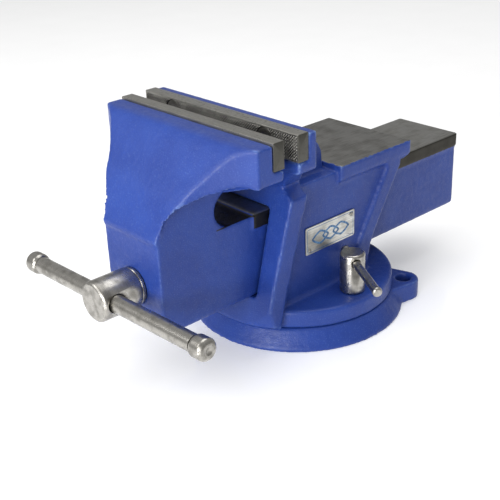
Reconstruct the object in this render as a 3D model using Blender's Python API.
"""Bench vise with a swivel base, an anvil and a screw-driven sliding jaw.

Metres, +Z up. The origin is where the swivel axis meets the bench: +X runs along the
jaws, +Y from the handle to the anvil, and the bench is the plane Z = 0.
"""
import math

import bmesh
import bpy
from mathutils import Matrix, Vector

MM = 0.001

# Clearances
TOUCH_GAP = 0.3 * MM        # between pieces that bear on each other
BORE_GAP = 0.3 * MM         # around a shaft in its hole

# Swivel base
BASE_HEIGHT = 14.7 * MM
BASE_SKIRT = 8 * MM         # how far the foot stands out past the turntable
BASE_EDGE = 2 * MM          # upright rim below the sloping skirt
LUG_COUNT = 2
LUG_ANGLE = 48.8            # degrees from +X to the first lug
LUG_REACH = 1.6 * MM        # bolt circle outside the foot's rim
LUG_END_RADIUS = 11.5 * MM
LUG_SPREAD = 33 * MM        # half width of a lug where it leaves the round foot
BOLT_HOLE_RADIUS = 6 * MM
SPIGOT_RADIUS = 14 * MM
SPIGOT_DEPTH = 9 * MM

# Clamp that locks the swivel
STUD_RADIUS = 5 * MM
STUD_HEAD = 17 * MM         # square head in the T-slot
STUD_HEAD_HEIGHT = 4.7 * MM
STUD_THREAD = 17 * MM       # length of stud inside its nut
T_SLOT_FLOOR = 3.6 * MM
T_SLOT_SIDE = 1.6 * MM      # room on each side of the stud's head
LOCK_NUT_RADIUS = 9 * MM
LOCK_NUT_HEIGHT = 30 * MM
LOCK_BAR_DROP = 6 * MM      # bar's axis below the top of the nut
LOCK_BAR_RADIUS = 3 * MM
LOCK_BAR_OUTER = 53 * MM    # from the nut's axis to the far end of the bar
LOCK_BAR_INNER = 17.5 * MM
LOCK_BAR_END = 0.5 * MM     # how far the swaged ends stand out
LOCK_BAR_ANGLE = -30        # degrees from straight out, towards the handle

# Sliding ram, one casting with the moving jaw
SLIDE_WIDTH = 56 * MM
SLIDE_HEIGHT = 62 * MM
SLIDE_REAR = 153.8 * MM     # rear end behind the swivel axis, jaws as at rest
SLIDE_WALL = 10 * MM
SLIDE_ROOF = 13 * MM
RAIL_HEIGHT = 11 * MM
RAIL_PROUD = 1 * MM
RAIL_SETBACK = 3.8 * MM     # front of the ground rail behind the fixed gripping face
RAIL_LIFT = 2.2 * MM        # ground rail above the painted floor of the throat

# Turntable and the fixed body
TURNTABLE_THICKNESS = 13 * MM
TURNTABLE_MARGIN = 15.7 * MM    # rim outside the clamp studs
BODY_FLOOR = 10.9 * MM          # between the turntable's top and the slide
BODY_WALL = 8.2 * MM
STUD_OFFSET = 17.8 * MM         # stud axis outside the body's wall
FLANGE_THICKNESS = 15.5 * MM
FLANGE_LEAN = 0.254             # front face leans back this much for each unit of height
FLANGE_STEP_LOW = 7.9 * MM      # past the wall at the foot
FLANGE_STEP_HIGH = 11.1 * MM    # past the wall at the shoulder
SHOULDER_DROP = 57 * MM         # shoulder below the jaw's top
SHOULDER_RISE = 7.5 * MM        # from the shoulder up to the corbel's foot
CORBEL_STEP = 0.5 * MM          # past the wall
CORBEL_DEPTH = 22 * MM          # behind the head, at the corbel's foot
REAR_RIB_WIDTH = 15 * MM
REAR_RIB_PROUD = 3.5 * MM
NECK_HALF_WIDTH = 27 * MM

# Anvil
ANVIL_LENGTH = 76.2 * MM
ANVIL_FRONT = 3.5 * MM
ANVIL_PROUD = 4.1 * MM          # side lip past the wall
ANVIL_LIP = 9.7 * MM
ANVIL_RISE = 16 * MM            # anvil face above the slide

# Jaws
JAW_WIDTH = 150 * MM
JAW_TOP = 167 * MM
JAW_FACE_Y = -72.3 * MM         # fixed gripping face
REST_OPENING = 11.5 * MM
HEAD_HEIGHT = 25.5 * MM
HEAD_BEHIND_PLATE = 7.2 * MM
HEAD_BEFORE_PLATE = 12.2 * MM
PLATE_HEIGHT = 18 * MM
PLATE_THICKNESS = 9 * MM
PLATE_PROUD = 1 * MM            # plate top above the painted head
LEDGE_SETBACK = 0.7 * MM
PLATE_SCREW_SPACING = 90 * MM
SCREW_RADIUS = 4 * MM
SCREW_HEAD_RADIUS = 7.6 * MM
SCREW_SINK = 0.5 * MM
SCREW_GRIP = 5.5 * MM           # length in the head behind the plate

# Nose of the moving jaw
NOSE_LENGTH = 44 * MM           # from the head's front to the box's front
NOSE_RIDGE_Z = 107 * MM
NOSE_LIP = 1.3 * MM
NOSE_WALL = 14 * MM             # in front of the hollow for the nut
RELIEF_RADIUS = 12.5 * MM
RELIEF_SETBACK = 4.5 * MM       # relief axis in front of the moving face

# Screw and its handle
SPINDLE_RADIUS = 11 * MM
SPINDLE_DROP = 32.9 * MM        # axis below the top of the slide
SPINDLE_HEAD_STEP = 2.7 * MM    # head's radius past the screw's
SPINDLE_HEAD_LENGTH = 29.5 * MM
SPINDLE_TAIL = 8.8 * MM         # screw's end short of the slide's rear end
CROSS_HOLE_INSET = 9.6 * MM     # handle's axis behind the front of the spindle's head
WASHER_THICKNESS = 2.5 * MM
WASHER_FACE = 4.2 * MM          # width of the spring washer's ring
THRUST_STEP = 0.8 * MM          # thrust washer's rim inside the head's
HANDLE_RADIUS = 5.8 * MM
HANDLE_LENGTH = 188 * MM        # over both knobs
HANDLE_OFFSET = 7 * MM          # the bar's middle lies this far to +X
HANDLE_TILT = 1.8               # degrees that the screw rests past level, +X end up
KNOB_STEP = 1.5 * MM            # knob's radius past the bar's
KNOB_LENGTH = 12 * MM
KNOB_SPIGOT_RADIUS = 4 * MM     # the bar's turned-down end inside its knob
KNOB_SPIGOT_LENGTH = 7 * MM
KNOB_EDGE = 2.5 * MM            # rounding of a knob's outer end
DIMPLE_RADIUS = 2.5 * MM
SPRING_WIRE_RADIUS = 1.5 * MM
SPRING_LENGTH = 24 * MM
SPRING_TURNS = 5
PIN_RADIUS = 2 * MM
NUT_LENGTH = 36 * MM
NUT_FRONT = -43 * MM
NUT_SIDE_GAP = 2 * MM
NUT_TOP_GAP = 3.9 * MM          # under the channel's roof
NUT_BOLT_RADIUS = 6 * MM
NUT_BOLT_HEAD_RADIUS = 10 * MM
NUT_BOLT_HEAD_HEIGHT = 7 * MM
NUT_BOLT_GRIP = 12 * MM

# Nameplate
NAMEPLATE_LENGTH = 50 * MM
NAMEPLATE_HEIGHT = 20.4 * MM
NAMEPLATE_THICKNESS = 0.8 * MM
NAMEPLATE_Y = -4.5 * MM
NAMEPLATE_DROP = 31.5 * MM      # plate's middle below the top of the slide
RIVET_RADIUS = 0.9 * MM
RIVET_HEAD_RADIUS = 1.6 * MM
RIVET_INSET = 3.2 * MM

# Places that follow from the sizes above
TURNTABLE_BOTTOM = BASE_HEIGHT + TOUCH_GAP
TURNTABLE_TOP = TURNTABLE_BOTTOM + TURNTABLE_THICKNESS
FLOOR_TOP = TURNTABLE_TOP + BODY_FLOOR
SLIDE_BOTTOM = FLOOR_TOP + TOUCH_GAP
SLIDE_TOP = SLIDE_BOTTOM + SLIDE_HEIGHT
SLIDE_HALF = SLIDE_WIDTH / 2
CHANNEL_HALF = SLIDE_HALF - SLIDE_WALL
CHANNEL_TOP = SLIDE_TOP - SLIDE_ROOF
PASSAGE_HALF = SLIDE_HALF + RAIL_PROUD + TOUCH_GAP
PASSAGE_TOP = SLIDE_TOP + TOUCH_GAP
WALL_X = PASSAGE_HALF + BODY_WALL
STUD_X = WALL_X + STUD_OFFSET
TURNTABLE_RADIUS = STUD_X + TURNTABLE_MARGIN
BASE_RADIUS = TURNTABLE_RADIUS + BASE_SKIRT
BOLT_CIRCLE = BASE_RADIUS + LUG_REACH
SPINDLE_Z = SLIDE_TOP - SPINDLE_DROP
SPINDLE_HEAD_RADIUS = SPINDLE_RADIUS + SPINDLE_HEAD_STEP
WASHER_RADIUS = SPINDLE_RADIUS + BORE_GAP + WASHER_FACE
ANVIL_TOP = SLIDE_TOP + ANVIL_RISE
ANVIL_X = WALL_X + ANVIL_PROUD
ANVIL_REAR = ANVIL_FRONT + ANVIL_LENGTH
HEAD_TOP = JAW_TOP - PLATE_PROUD
HEAD_BOTTOM = HEAD_TOP - HEAD_HEIGHT
SEAT_Z = JAW_TOP - PLATE_HEIGHT - TOUCH_GAP
FIXED_SEAT_Y = JAW_FACE_Y + PLATE_THICKNESS + TOUCH_GAP
MOVING_FACE_Y = JAW_FACE_Y - REST_OPENING
MOVING_SEAT_Y = MOVING_FACE_Y - PLATE_THICKNESS - TOUCH_GAP
HEAD_FRONT_Y = MOVING_SEAT_Y - HEAD_BEFORE_PLATE
NOSE_Y = HEAD_FRONT_Y - NOSE_LENGTH
NOSE_FACE_Y = NOSE_Y + NOSE_LIP
SPINDLE_HEAD_REAR = NOSE_FACE_Y - WASHER_THICKNESS - 2 * TOUCH_GAP
SPINDLE_HEAD_FRONT = SPINDLE_HEAD_REAR - SPINDLE_HEAD_LENGTH
HANDLE_Y = SPINDLE_HEAD_FRONT + CROSS_HOLE_INSET
CHANNEL_FRONT = NOSE_Y + NOSE_WALL
LOCK_BAR_Z = TURNTABLE_TOP + TOUCH_GAP + LOCK_NUT_HEIGHT - LOCK_BAR_DROP
SHOULDER_Z = JAW_TOP - SHOULDER_DROP
CORBEL_Z = SHOULDER_Z + SHOULDER_RISE
FLANGE_FOOT_Y = JAW_FACE_Y - 1.1 * MM       # front face where it meets the turntable's top


def as_object(name, shape):
    """Turns a bmesh into an object whose faces point outwards."""
    bmesh.ops.recalc_face_normals(shape, faces=shape.faces)
    mesh = bpy.data.meshes.new(name)
    shape.to_mesh(mesh)
    shape.free()
    part = bpy.data.objects.new(name, mesh)
    bpy.context.scene.collection.objects.link(part)
    return part


def finished(name, shape, tint, metallic, roughness):
    """A named sub-part with its own Principled material."""
    part = as_object(name, shape)
    dress(part, tint, metallic, roughness)
    return part


def dress(part, tint, metallic, roughness):
    """Gives a part its material and shades its round faces smooth."""
    material = bpy.data.materials.new(part.name)
    material.use_nodes = True
    shader = material.node_tree.nodes["Principled BSDF"]
    shader.inputs["Base Color"].default_value = (*tint, 1)
    shader.inputs["Metallic"].default_value = metallic
    shader.inputs["Roughness"].default_value = roughness
    part.data.materials.clear()
    part.data.materials.append(material)
    part.data.shade_smooth()
    part.data.set_sharp_from_angle(angle=math.radians(32))


PAINT = dict(tint=(0.035, 0.10, 0.42), metallic=0.0, roughness=0.38)
STEEL = dict(tint=(0.60, 0.59, 0.57), metallic=1.0, roughness=0.28)
GROUND = dict(tint=(0.30, 0.29, 0.27), metallic=1.0, roughness=0.45)
BRONZE = dict(tint=(0.52, 0.36, 0.17), metallic=1.0, roughness=0.40)
PLATE = dict(tint=(0.66, 0.66, 0.63), metallic=1.0, roughness=0.35)


def tool(shape):
    """A plain object that only adds to or cuts another one."""
    part = as_object("tool", shape)
    part.hide_render = True
    part.display_type = "WIRE"
    return part


def combine(part, operation, shapes):
    """Adds shapes to a part or cuts them out of it, in order, and removes them."""
    tools = [tool(shape) for shape in shapes]
    for number, other in enumerate(tools):
        modifier = part.modifiers.new(f"{operation.lower()}_{number}", "BOOLEAN")
        modifier.operation = operation
        modifier.solver = "EXACT"
        modifier.object = other
    bpy.context.view_layer.update()
    graph = bpy.context.evaluated_depsgraph_get()
    mesh = bpy.data.meshes.new_from_object(part.evaluated_get(graph))
    part.modifiers.clear()
    part.data = mesh
    for other in tools:
        bpy.data.objects.remove(other)


def unite(part, *shapes):
    combine(part, "UNION", shapes)


def cut(part, *shapes):
    combine(part, "DIFFERENCE", shapes)


def prism(outline, along, start, end):
    """An outline extruded along an axis: it holds (y, z), (x, z) or (x, y) points."""
    places = {
        "X": lambda a, b: (start, a, b),
        "Y": lambda a, b: (a, start, b),
        "Z": lambda a, b: (a, b, start),
    }
    direction = {"X": (1, 0, 0), "Y": (0, 1, 0), "Z": (0, 0, 1)}[along]
    shape = bmesh.new()
    face = shape.faces.new([shape.verts.new(places[along](a, b)) for a, b in outline])
    pulled = bmesh.ops.extrude_face_region(shape, geom=[face])
    moved = [item for item in pulled["geom"] if isinstance(item, bmesh.types.BMVert)]
    bmesh.ops.translate(shape, verts=moved, vec=Vector(direction) * (end - start))
    return shape


def block(low, high):
    """A box between two corners."""
    outline = [(low[0], low[1]), (high[0], low[1]), (high[0], high[1]), (low[0], high[1])]
    return prism(outline, "Z", low[2], high[2])


def turned(profile, centre, direction, segments):
    """A profile of (radius, distance along the axis) points spun about an axis.

    A profile starts and ends on the axis, or else it is a closed ring.
    """
    shape = bmesh.new()
    verts = [shape.verts.new((radius, 0, height)) for radius, height in profile]
    pairs = list(zip(verts, verts[1:]))
    if profile[0][0] > 0:
        pairs.append((verts[-1], verts[0]))
    edges = [shape.edges.new(pair) for pair in pairs]
    bmesh.ops.spin(shape, geom=verts + edges, cent=(0, 0, 0), axis=(0, 0, 1),
                   angle=math.tau, steps=segments, use_merge=True)
    bmesh.ops.remove_doubles(shape, verts=shape.verts, dist=0.001 * MM)
    turn = Vector((0, 0, 1)).rotation_difference(Vector(direction)).to_matrix().to_4x4()
    shape.transform(Matrix.Translation(centre) @ turn)
    return shape


def rod(radius, start, end, segments=24):
    """A plain cylinder between two points."""
    run = Vector(end) - Vector(start)
    profile = [(0, 0), (radius, 0), (radius, run.length), (0, run.length)]
    return turned(profile, start, run.normalized(), segments)


def lofted(sections):
    """A solid through closed loops that have the same number of points."""
    shape = bmesh.new()
    loops = [[shape.verts.new(point) for point in section] for section in sections]
    for near, far in zip(loops, loops[1:]):
        for index in range(len(near)):
            after = (index + 1) % len(near)
            shape.faces.new((near[index], near[after], far[after], far[index]))
    shape.faces.new(reversed(loops[0]))
    shape.faces.new(loops[-1])
    return shape


def arc(centre, radius, start, end, steps):
    """Points on a circle from one angle in degrees to another, both ends included."""
    angles = [math.radians(start + (end - start) * k / steps) for k in range(steps + 1)]
    return [(centre[0] + radius * math.cos(a), centre[1] + radius * math.sin(a))
            for a in angles]


def smooth_run(points, steps):
    """A Catmull-Rom curve through the points, with a number of steps between them."""
    ends = [points[0], *points, points[-1]]
    run = []
    for a, b, c, d in zip(ends, ends[1:], ends[2:], ends[3:]):
        for k in range(steps):
            t = k / steps
            run.append(tuple(
                0.5 * (2 * q + (r - p) * t + (2 * p - 5 * q + 4 * r - s) * t ** 2
                       + (3 * q - p - 3 * r + s) * t ** 3)
                for p, q, r, s in zip(a, b, c, d)))
    return run + [points[-1]]


def mirrored(half):
    """A closed outline from the points of its right half, listed bottom to top."""
    return half + [(-x, z) for x, z in reversed(half)]


def pivot(name, place, parent=None):
    """An empty on a joint's axis."""
    empty = bpy.data.objects.new(name, None)
    empty.empty_display_size = 20 * MM
    empty.location = place
    bpy.context.scene.collection.objects.link(empty)
    if parent:
        hang(empty, parent)
    return empty


def hang(child, parent):
    """Parents without moving the child."""
    bpy.context.view_layer.update()
    child.parent = parent
    child.matrix_parent_inverse = parent.matrix_world.inverted()


def lug_outline(angle):
    """A lug seen from above: a round end that widens into the foot."""
    turn = Matrix.Rotation(math.radians(angle), 2)
    lean = math.degrees(math.atan2(LUG_SPREAD - LUG_END_RADIUS, BOLT_CIRCLE * 0.45))
    end = arc((BOLT_CIRCLE, 0), LUG_END_RADIUS, lean - 90, 90 - lean, 10)
    inner = BOLT_CIRCLE * 0.6
    outline = end + [(inner, LUG_SPREAD), (inner, -LUG_SPREAD)]
    return [tuple(turn @ Vector(point)) for point in outline]


def make_base():
    """Round foot with bolt lugs, a ring-shaped T-slot and a socket for the spigot."""
    head_room = STUD_HEAD / 2 + T_SLOT_SIDE
    shank_room = STUD_RADIUS + 2.5 * BORE_GAP
    shoulder = T_SLOT_FLOOR + STUD_HEAD_HEIGHT + 2 * TOUCH_GAP
    body = turned([(0, 0), (BASE_RADIUS, 0), (BASE_RADIUS, BASE_EDGE),
                   (TURNTABLE_RADIUS + TOUCH_GAP, BASE_HEIGHT), (0, BASE_HEIGHT)],
                  (0, 0, 0), (0, 0, 1), 72)
    base = finished("swivel_base", body, **PAINT)
    angles = [LUG_ANGLE + 360 * k / LUG_COUNT for k in range(LUG_COUNT)]
    unite(base, *[prism(lug_outline(angle), "Z", 0, BASE_HEIGHT) for angle in angles])
    slot = [(STUD_X - head_room, T_SLOT_FLOOR), (STUD_X + head_room, T_SLOT_FLOOR),
            (STUD_X + head_room, shoulder), (STUD_X + shank_room, shoulder),
            (STUD_X + shank_room, BASE_HEIGHT + MM), (STUD_X - shank_room, BASE_HEIGHT + MM),
            (STUD_X - shank_room, shoulder), (STUD_X - head_room, shoulder)]
    socket_floor = TURNTABLE_BOTTOM - SPIGOT_DEPTH - TOUCH_GAP
    entry_radius = STUD_HEAD / math.sqrt(2) + TOUCH_GAP
    cut(base,
        turned(slot, (0, 0, 0), (0, 0, 1), 72),
        rod(entry_radius, (0, STUD_X, T_SLOT_FLOOR), (0, STUD_X, BASE_HEIGHT + MM)),
        rod(SPIGOT_RADIUS + BORE_GAP, (0, 0, socket_floor), (0, 0, BASE_HEIGHT + MM), 32))
    for angle in angles:
        x = BOLT_CIRCLE * math.cos(math.radians(angle))
        y = BOLT_CIRCLE * math.sin(math.radians(angle))
        cut(base, rod(BOLT_HOLE_RADIUS, (x, y, -MM), (x, y, BASE_HEIGHT + MM)))
    dress(base, **PAINT)
    return base


def flange_y(height):
    """Y of the flange's leaning front face at a height."""
    return FLANGE_FOOT_Y + FLANGE_LEAN * (height - TURNTABLE_TOP)


def rear_line():
    """The body's rear edge from the anvil's underside to the turntable, as (y, z)."""
    low = TURNTABLE_TOP - 3 * MM
    high = ANVIL_TOP - ANVIL_RISE
    foot = TURNTABLE_RADIUS * 0.47
    top = ANVIL_REAR - 11 * MM
    rise = high - low
    return smooth_run([(top, high), (foot + (top - foot) * 0.52, low + rise * 0.64),
                       (foot + (top - foot) * 0.1, low + rise * 0.3), (foot, low)], 3)


def make_flange():
    """The portal in front of the body, sheared to its lean and trimmed over the base."""
    foot = TURNTABLE_BOTTOM
    half = [(WALL_X + FLANGE_STEP_LOW, foot),
            (WALL_X + FLANGE_STEP_LOW, foot + 30 * MM),
            (WALL_X + FLANGE_STEP_HIGH, SHOULDER_Z),
            (WALL_X + CORBEL_STEP, CORBEL_Z)]
    shape = prism(mirrored(half), "Y", 0, FLANGE_THICKNESS)
    for vert in shape.verts:
        vert.co.y += flange_y(vert.co.z)
    flange = tool(shape)
    rim = TURNTABLE_RADIUS + 2 * MM
    cone = [(0, foot - MM), (rim, foot - MM), (rim, foot), (rim + 9 * MM, foot + 5.5 * MM),
            (rim + 14 * MM, foot + 36 * MM), (rim + 30 * MM, JAW_TOP), (0, JAW_TOP)]
    combine(flange, "INTERSECT", [turned(cone, (0, 0, 0), (0, 0, 1), 72)])
    trimmed = bmesh.new()
    trimmed.from_mesh(flange.data)
    bpy.data.objects.remove(flange)
    return trimmed


def fixed_head():
    """The jaw's head and the corbel that carries it, as level rectangles."""
    half = JAW_WIDTH / 2
    foot = WALL_X + CORBEL_STEP
    rear = FIXED_SEAT_Y + HEAD_BEHIND_PLATE
    front = JAW_FACE_Y + LEDGE_SETBACK
    levels = [
        (SHOULDER_Z - 4 * MM, foot - 0.2 * MM, flange_y(SHOULDER_Z) + 3 * MM, rear + CORBEL_DEPTH),
        (CORBEL_Z, foot, flange_y(CORBEL_Z), rear + CORBEL_DEPTH),
        (HEAD_BOTTOM - 3.5 * MM, half - 15 * MM, front + 8 * MM, rear + 8 * MM),
        (HEAD_BOTTOM, half - 2 * MM, front, rear + 2 * MM),
        (HEAD_BOTTOM + 2 * MM, half, front, rear),
        (HEAD_TOP, half, front, rear)]
    return lofted([[(-x, a, z), (x, a, z), (x, b, z), (-x, b, z)] for z, x, a, b in levels])


def make_fixed_body():
    """Turntable, walls round the slide, neck, jaw head and anvil in one casting."""
    table = turned([(0, TURNTABLE_BOTTOM - SPIGOT_DEPTH),
                    (SPIGOT_RADIUS, TURNTABLE_BOTTOM - SPIGOT_DEPTH),
                    (SPIGOT_RADIUS, TURNTABLE_BOTTOM), (TURNTABLE_RADIUS, TURNTABLE_BOTTOM),
                    (TURNTABLE_RADIUS, TURNTABLE_TOP - 2 * MM),
                    (TURNTABLE_RADIUS - 0.6 * MM, TURNTABLE_TOP - 0.6 * MM),
                    (TURNTABLE_RADIUS - 2 * MM, TURNTABLE_TOP), (0, TURNTABLE_TOP)],
                   (0, 0, 0), (0, 0, 1), 72)
    body = finished("static_jaw_body", table, **PAINT)
    low = TURNTABLE_TOP - 3 * MM
    lip = ANVIL_TOP - ANVIL_LIP
    rear = rear_line()
    walls = [(flange_y(low) + 5 * MM, low),
             (flange_y(SHOULDER_Z) + 5 * MM, SHOULDER_Z + 3 * MM),
             (ANVIL_FRONT + MM, lip + 5.5 * MM),
             (ANVIL_REAR - 2 * MM, lip), *rear]
    edge = [(rear[0][0], lip + MM), *rear]
    rib = edge + [(y - REAR_RIB_WIDTH, z) for y, z in reversed(edge)]
    neck_low = PASSAGE_TOP + 3.5 * MM
    neck = [(flange_y(neck_low) + 3 * MM, neck_low),
            (flange_y(CORBEL_Z) + 3 * MM, CORBEL_Z),
            (FIXED_SEAT_Y + 3 * MM, HEAD_BOTTOM),
            (FIXED_SEAT_Y + 3 * MM, HEAD_TOP - 8 * MM),
            (FIXED_SEAT_Y + 28 * MM, HEAD_TOP - 16 * MM),
            *smooth_run([(ANVIL_FRONT - 11.5 * MM, ANVIL_TOP + 20 * MM),
                         (ANVIL_FRONT - 4.5 * MM, ANVIL_TOP + 10 * MM),
                         (ANVIL_FRONT - 3 * MM, neck_low)], 3)]
    anvil = mirrored([(WALL_X - 2 * MM, lip - 6 * MM), (ANVIL_X, lip), (ANVIL_X, ANVIL_TOP)])
    flare = FIXED_SEAT_Y + HEAD_BEHIND_PLATE - MM
    fillet = 24 * MM
    curve = arc((NECK_HALF_WIDTH + fillet, flare + fillet), fillet, -90, -180, 6)
    web = [(NECK_HALF_WIDTH - MM, flare), *curve, (NECK_HALF_WIDTH - MM, flare + fillet)]
    web_low = HEAD_BOTTOM - 8 * MM
    unite(body,
          prism(walls, "X", -WALL_X, WALL_X),
          prism(rib, "X", -WALL_X - REAR_RIB_PROUD, WALL_X + REAR_RIB_PROUD),
          prism(neck, "X", -NECK_HALF_WIDTH, NECK_HALF_WIDTH),
          prism(anvil, "Y", ANVIL_FRONT, ANVIL_REAR),
          make_flange(),
          fixed_head(),
          prism(web, "Z", web_low, HEAD_TOP - 14 * MM),
          prism([(-x, y) for x, y in web], "Z", web_low, HEAD_TOP - 14 * MM))
    cut_fixed_body(body)
    dress(body, **PAINT)
    return body


def cut_fixed_body(body):
    """The slide's passage, the plate's seat and every hole in the casting."""
    stud_hole = STUD_RADIUS + BORE_GAP
    bolt_y = NUT_FRONT + NUT_LENGTH / 2
    seat_top = TURNTABLE_BOTTOM + NUT_BOLT_HEAD_HEIGHT + 2 * TOUCH_GAP
    plate_y = FIXED_SEAT_Y - 3 * PLATE_THICKNESS
    far = JAW_WIDTH
    cut(body,
        block((-PASSAGE_HALF, -far, FLOOR_TOP), (PASSAGE_HALF, far, PASSAGE_TOP)),
        block((-far, plate_y, SEAT_Z), (far, FIXED_SEAT_Y, JAW_TOP + MM)),
        rod(NUT_BOLT_RADIUS + BORE_GAP, (0, bolt_y, 0), (0, bolt_y, FLOOR_TOP + MM)),
        rod(NUT_BOLT_HEAD_RADIUS + BORE_GAP, (0, bolt_y, 0), (0, bolt_y, seat_top)))
    for side in (-1, 1):
        x = side * STUD_X
        cut(body, rod(stud_hole, (x, 0, 0), (x, 0, TURNTABLE_TOP + MM)))
        cut(body, screw_hole(side, FIXED_SEAT_Y, 1))
    for y, z in rivet_places():
        start = (WALL_X - 4 * MM, y, z)
        cut(body, rod(RIVET_RADIUS + BORE_GAP, start, (WALL_X + 5 * MM, y, z), 12))


def screw_hole(side, seat_y, direction):
    """A blind hole behind a jaw plate, running towards +Y or -Y."""
    x = side * PLATE_SCREW_SPACING / 2
    z = JAW_TOP - PLATE_HEIGHT / 2
    depth = (SCREW_GRIP + TOUCH_GAP) * direction
    return rod(SCREW_RADIUS + BORE_GAP, (x, seat_y - MM * direction, z),
               (x, seat_y + depth, z), 16)


def nose_slope(steps):
    """The bulging front of the moving jaw from its ridge to the head's top, (y, z)."""
    rise = HEAD_TOP - NOSE_RIDGE_Z
    shares = ((0, 0), (0.18, 0.29), (0.32, 0.46), (0.55, 0.665), (0.75, 0.86), (0.9, 0.975), (1, 1))
    points = [(NOSE_Y + NOSE_LENGTH * a, NOSE_RIDGE_Z + rise * b) for a, b in shares]
    return smooth_run(points, steps)


def height_on(line, y):
    """Height of a rising line of (y, z) points at y."""
    for (y0, z0), (y1, z1) in zip(line, line[1:]):
        if y <= y1:
            return z0 + (z1 - z0) * (y - y0) / (y1 - y0)
    return line[-1][1]


def flank_sections():
    """Upright sections of the bracket that widens from the nose to the head's ends."""
    slope = nose_slope(6)
    rise = HEAD_BOTTOM - NOSE_RIDGE_Z
    arch = smooth_run([(NOSE_Y + NOSE_LENGTH * a, NOSE_RIDGE_Z + rise * b) for a, b in
                       ((0, 0), (0.12, 0.31), (0.25, 0.59), (0.38, 0.72), (0.68, 0.91),
                        (0.88, 1.04), (1, 1))], 3)
    spread = JAW_WIDTH / 2 - SLIDE_HALF
    plan = smooth_run([(NOSE_Y + NOSE_LENGTH * a, SLIDE_HALF + spread * b) for a, b in
                       ((0, 0), (0.18, 0.10), (0.32, 0.245), (0.53, 0.39), (0.83, 0.71), (1, 1))], 3)
    sections = []
    for y, x in plan[1:]:
        top = height_on(slope, y)
        bottom = min(height_on(arch, y), top - 0.4 * MM)
        sections.append([(-x, y, bottom), (x, y, bottom), (x, y, top), (-x, y, top)])
    deep = HEAD_FRONT_Y + 2 * MM
    sections.append([(x, deep, z) for x, y, z in sections[-1]])
    return sections


def make_moving_jaw():
    """Jaw head, bracketed nose and the hollow slide in one casting."""
    relief = (MOVING_FACE_Y - RELIEF_SETBACK, SLIDE_TOP - RAIL_LIFT + RELIEF_RADIUS)
    floor = SLIDE_TOP - RAIL_LIFT
    ledge = MOVING_FACE_Y - LEDGE_SETBACK
    rail_front = JAW_FACE_Y + RAIL_SETBACK
    side = [(NOSE_FACE_Y, SLIDE_BOTTOM), (NOSE_FACE_Y, NOSE_RIDGE_Z - 3.5 * MM),
            (NOSE_Y, NOSE_RIDGE_Z - 2 * MM), *nose_slope(3), (ledge, HEAD_TOP),
            (ledge, HEAD_BOTTOM), (relief[0] + 0.5 * MM, HEAD_BOTTOM - 4 * MM),
            *arc(relief, RELIEF_RADIUS, 90, 270, 12),
            (SLIDE_REAR, floor), (SLIDE_REAR, SLIDE_BOTTOM)]
    jaw = finished("moving_jaw", prism(side, "X", -SLIDE_HALF, SLIDE_HALF), **PAINT)
    half = JAW_WIDTH / 2
    drop = relief[1] + RELIEF_RADIUS + 2 * MM
    head = mirrored([(SLIDE_HALF - 2 * MM, drop), (SLIDE_HALF, drop),
                     (half - 9 * MM, HEAD_BOTTOM - MM), (half - 2 * MM, HEAD_BOTTOM),
                     (half, HEAD_BOTTOM + 2 * MM), (half, HEAD_TOP)])
    rail_half = SLIDE_HALF + RAIL_PROUD
    unite(jaw,
          prism(head, "Y", HEAD_FRONT_Y, ledge),
          lofted(flank_sections()),
          block((-rail_half, rail_front, SLIDE_TOP - RAIL_HEIGHT),
                (rail_half, SLIDE_REAR, SLIDE_TOP)))
    far = JAW_WIDTH
    behind = MOVING_SEAT_Y + 3 * PLATE_THICKNESS
    cut(jaw,
        block((-CHANNEL_HALF, CHANNEL_FRONT, 0), (CHANNEL_HALF, 2 * far, CHANNEL_TOP)),
        block((-far, MOVING_SEAT_Y, SEAT_Z), (far, behind, JAW_TOP + MM)),
        rod(SPINDLE_RADIUS + BORE_GAP, (0, NOSE_Y - MM, SPINDLE_Z),
            (0, CHANNEL_FRONT + MM, SPINDLE_Z)),
        screw_hole(-1, MOVING_SEAT_Y, -1),
        screw_hole(1, MOVING_SEAT_Y, -1))
    dress(jaw, **PAINT)
    return jaw


def make_jaw_plate(name, face_y, direction):
    """A hardened plate with two countersunk holes; direction points into its head."""
    back = face_y + PLATE_THICKNESS * direction
    low = (-JAW_WIDTH / 2, min(face_y, back), JAW_TOP - PLATE_HEIGHT)
    high = (JAW_WIDTH / 2, max(face_y, back), JAW_TOP)
    plate = finished(name, block(low, high), **STEEL)
    flare = SCREW_HEAD_RADIUS + BORE_GAP
    taper = SCREW_HEAD_RADIUS - SCREW_RADIUS
    hole = SCREW_RADIUS + BORE_GAP
    profile = [(0, -MM), (flare, -MM), (flare, SCREW_SINK), (hole, SCREW_SINK + taper),
               (hole, PLATE_THICKNESS + MM), (0, PLATE_THICKNESS + MM)]
    for side in (-1, 1):
        place = (side * PLATE_SCREW_SPACING / 2, face_y, JAW_TOP - PLATE_HEIGHT / 2)
        cut(plate, turned(profile, place, (0, direction, 0), 24))
    dress(plate, **STEEL)
    return plate


def make_plate_screw(name, side, face_y, direction):
    """A countersunk socket screw that holds a jaw plate."""
    top = SCREW_SINK + TOUCH_GAP
    socket = 2.5 * MM
    length = PLATE_THICKNESS + SCREW_GRIP
    place = (side * PLATE_SCREW_SPACING / 2, face_y, JAW_TOP - PLATE_HEIGHT / 2)
    rim = SCREW_HEAD_RADIUS - 0.4 * MM
    profile = [(0, top + socket), (socket, top + socket), (socket, top), (rim, top),
               (SCREW_RADIUS, top + rim - SCREW_RADIUS), (SCREW_RADIUS, length), (0, length)]
    return finished(name, turned(profile, place, (0, direction, 0), 24), **STEEL)


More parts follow.
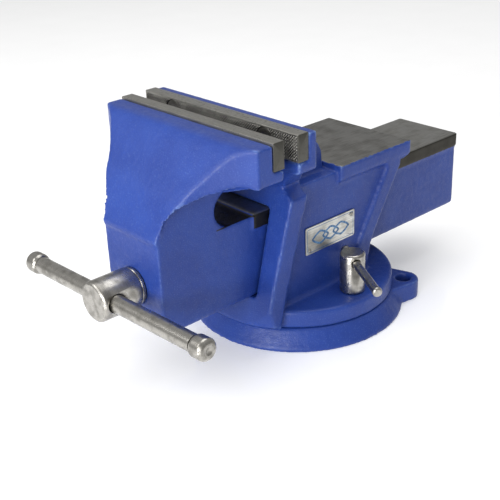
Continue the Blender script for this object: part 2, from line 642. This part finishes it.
def make_spindle():
    """The screw, its round head and the cross hole for the handle."""
    tail = SLIDE_REAR - SPINDLE_TAIL
    head = SPINDLE_HEAD_RADIUS
    profile = [(0, SPINDLE_HEAD_FRONT), (head - 2 * MM, SPINDLE_HEAD_FRONT),
               (head - 0.6 * MM, SPINDLE_HEAD_FRONT + 0.6 * MM),
               (head, SPINDLE_HEAD_FRONT + 2 * MM), (head, SPINDLE_HEAD_REAR - MM),
               (head - MM, SPINDLE_HEAD_REAR), (SPINDLE_RADIUS, SPINDLE_HEAD_REAR),
               (SPINDLE_RADIUS, tail - 2 * MM), (SPINDLE_RADIUS - 2 * MM, tail), (0, tail)]
    spindle = finished("spindle", turned(profile, (0, 0, SPINDLE_Z), (0, 1, 0), 36), **STEEL)
    wide = 2 * head
    pin_y = pin_place()
    cut(spindle,
        rod(HANDLE_RADIUS + BORE_GAP, handle_point(-wide), handle_point(wide)),
        rod(PIN_RADIUS + BORE_GAP, (0, pin_y, SPINDLE_Z - wide), (0, pin_y, SPINDLE_Z + wide), 12))
    dress(spindle, **STEEL)
    return spindle


def handle_point(along):
    """A point on the handle's axis, this far from the screw's axis."""
    tilt = math.radians(HANDLE_TILT)
    return Vector((along * math.cos(tilt), HANDLE_Y, SPINDLE_Z + along * math.sin(tilt)))


def pin_place():
    """Y of the cross pin: behind the spring and its washer."""
    stack = CHANNEL_FRONT + SPRING_LENGTH + WASHER_THICKNESS + 3 * TOUCH_GAP
    return stack + PIN_RADIUS + TOUCH_GAP


def make_washer(name, front, radius):
    """A flat ring on the screw."""
    inner = SPINDLE_RADIUS + BORE_GAP
    back = front + WASHER_THICKNESS
    ring = [(inner, front), (radius - 0.4 * MM, front), (radius, front + 0.4 * MM),
            (radius, back), (inner, back)]
    return finished(name, turned(ring, (0, 0, SPINDLE_Z), (0, 1, 0), 32), **STEEL)


def make_spring():
    """A coil round the screw, between the nose's wall and its washer."""
    start = CHANNEL_FRONT + TOUCH_GAP + SPRING_WIRE_RADIUS
    travel = SPRING_LENGTH - 2 * SPRING_WIRE_RADIUS
    radius = SPINDLE_RADIUS + SPRING_WIRE_RADIUS + 2 * BORE_GAP
    count = SPRING_TURNS * 16
    curve = bpy.data.curves.new("spindle_spring", "CURVE")
    curve.dimensions = "3D"
    curve.bevel_depth = SPRING_WIRE_RADIUS
    curve.bevel_resolution = 1
    curve.use_fill_caps = True
    spline = curve.splines.new("POLY")
    spline.points.add(count)
    for index, point in enumerate(spline.points):
        angle = math.tau * SPRING_TURNS * index / count
        y = start + travel * index / count
        point.co = (radius * math.cos(angle), y, SPINDLE_Z + radius * math.sin(angle), 1)
    coil = bpy.data.objects.new("spindle_spring", curve)
    bpy.context.scene.collection.objects.link(coil)
    bpy.context.view_layer.update()
    graph = bpy.context.evaluated_depsgraph_get()
    mesh = bpy.data.meshes.new_from_object(coil.evaluated_get(graph))
    bpy.data.objects.remove(coil)
    shape = bmesh.new()
    shape.from_mesh(mesh)
    bmesh.ops.remove_doubles(shape, verts=shape.verts, dist=0.001 * MM)
    return finished("spindle_spring", shape, **STEEL)


def make_retaining_pin():
    """The cross pin that keeps the screw in the jaw."""
    reach = min(WASHER_RADIUS, CHANNEL_HALF - 2 * MM)
    y = pin_place()
    shape = rod(PIN_RADIUS, (0, y, SPINDLE_Z - reach), (0, y, SPINDLE_Z + reach), 12)
    return finished("retaining_pin", shape, **STEEL)


def make_spindle_nut():
    """The bronze nut, standing on the body's floor inside the slide's channel."""
    half = CHANNEL_HALF - NUT_SIDE_GAP
    low = FLOOR_TOP + TOUCH_GAP
    rise = CHANNEL_TOP - NUT_TOP_GAP - SPINDLE_Z
    crown = [(x * half, SPINDLE_Z + z * rise) for x, z in arc((0, 0), 1, 15, 75, 4)]
    outline = mirrored([(half, low), (half, SPINDLE_Z), *crown])
    nut = finished("spindle_nut", prism(outline, "Y", NUT_FRONT, NUT_FRONT + NUT_LENGTH), **BRONZE)
    middle = NUT_FRONT + NUT_LENGTH / 2
    depth = low + NUT_BOLT_GRIP + TOUCH_GAP
    cut(nut,
        rod(SPINDLE_RADIUS + BORE_GAP, (0, NUT_FRONT - MM, SPINDLE_Z),
            (0, NUT_FRONT + NUT_LENGTH + MM, SPINDLE_Z), 36),
        rod(NUT_BOLT_RADIUS + BORE_GAP, (0, middle, 0), (0, middle, depth)))
    dress(nut, **BRONZE)
    return nut


def make_nut_bolt():
    """The bolt that comes up through the turntable into the nut."""
    under = TURNTABLE_BOTTOM + TOUCH_GAP
    seat = under + NUT_BOLT_HEAD_HEIGHT
    top = FLOOR_TOP + TOUCH_GAP + NUT_BOLT_GRIP
    place = (0, NUT_FRONT + NUT_LENGTH / 2, 0)
    head = turned([(0, under), (NUT_BOLT_HEAD_RADIUS, under), (NUT_BOLT_HEAD_RADIUS, seat),
                   (0, seat)], place, (0, 0, 1), 6)
    bolt = finished("nut_bolt", head, **GROUND)
    unite(bolt, rod(NUT_BOLT_RADIUS, (0, place[1], seat - MM), (0, place[1], top)))
    dress(bolt, **GROUND)
    return bolt


def make_handle():
    """The sliding bar and the knob pressed on each of its turned-down ends."""
    half = HANDLE_LENGTH / 2
    inner = half - KNOB_LENGTH
    middle = handle_point(HANDLE_OFFSET)
    along = (handle_point(1) - handle_point(0)).normalized()
    shoulder = inner - TOUCH_GAP
    tip = inner + KNOB_SPIGOT_LENGTH
    end = [(HANDLE_RADIUS, shoulder), (KNOB_SPIGOT_RADIUS, shoulder), (KNOB_SPIGOT_RADIUS, tip),
           (0, tip)]
    bar = [(radius, -place) for radius, place in reversed(end)] + end
    pieces = [finished("handle_bar", turned(bar, middle, along, 24), **STEEL)]
    hole = KNOB_SPIGOT_RADIUS + BORE_GAP
    bottom = tip + TOUCH_GAP
    knob = HANDLE_RADIUS + KNOB_STEP
    round_edge = arc((half - KNOB_EDGE, knob - KNOB_EDGE), KNOB_EDGE, 90, 0, 4)
    profile = [(0, bottom), (hole, bottom), (hole, inner), (HANDLE_RADIUS, inner),
               (knob, inner + KNOB_EDGE / 2), *[(radius, place) for place, radius in round_edge],
               (DIMPLE_RADIUS, half), (DIMPLE_RADIUS / 2, half - 0.7 * MM), (0, half - MM)]
    for name, side in (("handle_knob_left", -1), ("handle_knob_right", 1)):
        shape = turned(profile, middle, along * side, 24)
        pieces.append(finished(name, shape, **STEEL))
    return pieces


def make_lock_stud(name, side):
    """A T-bolt: square head in the base's slot, shank up into the lock nut."""
    x = side * STUD_X
    low = T_SLOT_FLOOR + TOUCH_GAP
    seat = low + STUD_HEAD_HEIGHT
    half = STUD_HEAD / 2
    top = TURNTABLE_TOP + TOUCH_GAP + STUD_THREAD
    stud = finished(name, block((x - half, -half, low), (x + half, half, seat)), **GROUND)
    unite(stud, rod(STUD_RADIUS, (x, 0, seat - MM), (x, 0, top)))
    dress(stud, **GROUND)
    return stud


def make_lock_nut(name, side):
    """A tall round nut with a cross hole for its bar."""
    bottom = TURNTABLE_TOP + TOUCH_GAP
    top = bottom + LOCK_NUT_HEIGHT
    radius = LOCK_NUT_RADIUS
    bore = STUD_RADIUS + BORE_GAP
    depth = bottom + STUD_THREAD + TOUCH_GAP
    profile = [(0, depth), (bore, depth), (bore, bottom), (radius - 0.6 * MM, bottom),
               (radius, bottom + 0.6 * MM), (radius, top - 1.2 * MM),
               (radius - 1.2 * MM, top), (0, top)]
    nut = finished(name, turned(profile, (side * STUD_X, 0, 0), (0, 0, 1), 32), **STEEL)
    start, end = lock_bar_ends(side, 1.5 * radius, 1.5 * radius)
    cut(nut, rod(LOCK_BAR_RADIUS + BORE_GAP, start, end, 20))
    dress(nut, **STEEL)
    return nut


def lock_bar_ends(side, inner, outer):
    """Two points on a lock bar's axis, inside and outside its nut."""
    angle = math.radians(LOCK_BAR_ANGLE)
    along = Vector((side * math.cos(angle), math.sin(angle), 0))
    centre = Vector((side * STUD_X, 0, LOCK_BAR_Z))
    return centre - along * inner, centre + along * outer


def make_lock_bar(name, side):
    """The tommy bar through a lock nut, swaged a little at both ends."""
    start, end = lock_bar_ends(side, LOCK_BAR_INNER, LOCK_BAR_OUTER)
    length = (end - start).length
    thick = LOCK_BAR_RADIUS + LOCK_BAR_END
    thin = LOCK_BAR_RADIUS
    half = [(0, 0), (thin - 0.6 * MM, 0), (thick, MM), (thick, 3 * MM), (thin, 4 * MM)]
    profile = half + [(radius, length - place) for radius, place in reversed(half)]
    shape = turned(profile, start, (end - start).normalized(), 16)
    return finished(name, shape, **STEEL)


def rivet_places():
    """The nameplate's rivets, in two opposite corners, as (y, z)."""
    y = NAMEPLATE_LENGTH / 2 - RIVET_INSET
    z = NAMEPLATE_HEIGHT / 2 - RIVET_INSET
    middle = SLIDE_TOP - NAMEPLATE_DROP
    return [(NAMEPLATE_Y - y, middle - z), (NAMEPLATE_Y + y, middle + z)]


def make_nameplate():
    """A thin plate on the body's right wall, and its two rivets."""
    back = WALL_X + TOUCH_GAP
    front = back + NAMEPLATE_THICKNESS
    middle = SLIDE_TOP - NAMEPLATE_DROP
    half = (NAMEPLATE_LENGTH / 2, NAMEPLATE_HEIGHT / 2)
    plate = finished("nameplate", block(
        (back, NAMEPLATE_Y - half[0], middle - half[1]),
        (front, NAMEPLATE_Y + half[0], middle + half[1])), **PLATE)
    pieces = [plate]
    head = front + TOUCH_GAP
    tip = WALL_X - 3.5 * MM
    for name, (y, z) in zip(("nameplate_rivet_lower", "nameplate_rivet_upper"), rivet_places()):
        cut(plate, rod(RIVET_RADIUS + BORE_GAP, (tip, y, z), (head + MM, y, z), 12))
        profile = [(0, tip), (RIVET_RADIUS, tip), (RIVET_RADIUS, head), (RIVET_HEAD_RADIUS, head),
                   (RIVET_HEAD_RADIUS * 0.7, head + 0.6 * MM), (0, head + 0.8 * MM)]
        pieces.append(finished(name, turned(profile, (0, y, z), (1, 0, 0), 12), **STEEL))
    dress(plate, **PLATE)
    return pieces


def build():
    for old in list(bpy.data.objects):
        bpy.data.objects.remove(old)

    swivel = pivot("swivel_axis", (0, 0, 0))
    carriage = pivot("jaw_travel", (0, JAW_FACE_Y, SPINDLE_Z), swivel)
    screw_axis = pivot("spindle_axis", (0, SPINDLE_HEAD_REAR, SPINDLE_Z), carriage)
    handle_axis = pivot("handle_axis", (0, HANDLE_Y, SPINDLE_Z), screw_axis)

    make_base()
    fixed = [make_fixed_body(), make_spindle_nut(), make_nut_bolt(), *make_nameplate(),
             make_jaw_plate("static_jaw_plate", JAW_FACE_Y, 1)]
    moving = [make_moving_jaw(), make_jaw_plate("moving_jaw_plate", MOVING_FACE_Y, -1)]
    turning = [make_spindle(), make_spring(), make_retaining_pin(),
               make_washer("thrust_washer", NOSE_FACE_Y - WASHER_THICKNESS - TOUCH_GAP,
                           SPINDLE_HEAD_RADIUS - THRUST_STEP),
               make_washer("spring_washer", CHANNEL_FRONT + SPRING_LENGTH + 2 * TOUCH_GAP,
                           WASHER_RADIUS)]
    for word, side in (("left", -1), ("right", 1)):
        fixed.append(make_plate_screw(f"static_plate_screw_{word}", side, JAW_FACE_Y, 1))
        moving.append(make_plate_screw(f"moving_plate_screw_{word}", side, MOVING_FACE_Y, -1))
        fixed.append(make_lock_stud(f"lock_stud_{word}", side))
        nut_axis = pivot(f"lock_nut_axis_{word}", (side * STUD_X, 0, LOCK_BAR_Z), swivel)
        hang(make_lock_nut(f"lock_nut_{word}", side), nut_axis)
        hang(make_lock_bar(f"lock_bar_{word}", side), nut_axis)
    for pieces, parent in ((fixed, swivel), (moving, carriage), (turning, screw_axis),
                           (make_handle(), handle_axis)):
        for piece in pieces:
            hang(piece, parent)


build()
